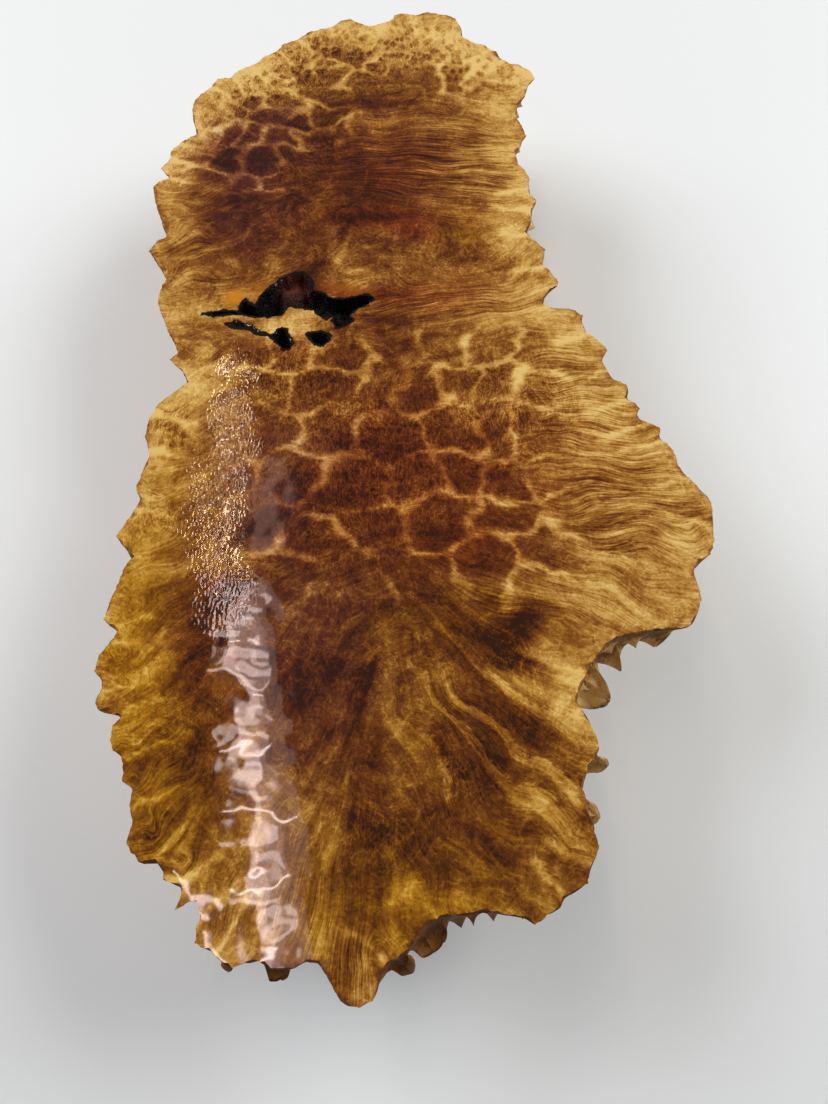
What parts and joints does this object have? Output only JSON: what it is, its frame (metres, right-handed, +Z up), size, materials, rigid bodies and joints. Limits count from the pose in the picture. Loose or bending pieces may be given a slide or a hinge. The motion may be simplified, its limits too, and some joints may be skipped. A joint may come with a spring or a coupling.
{
  "type": "mallee burl",
  "caption": "Half of a debarked mallee burl, sawn flat on top with pin-eye figure and a bark pocket, its cone-covered natural side below.",
  "frame": {"origin": "middle of the footprint's bounding box, on the surface that the burl lies on", "axes": "+Z up, out of the sawn face; +Y along the burl towards its narrower rounded end; +X towards the side with the wide lobe and the notch"},
  "size_m": [0.2176, 0.4298, 0.065],
  "materials": {
    "burl_wood": "oiled, wet-looking gloss on the sawn face, matt and tan on the natural side"
  },
  "bodies": {
    "root": {"mallee_burl": "burl_wood"}
  },
  "joints": []
}
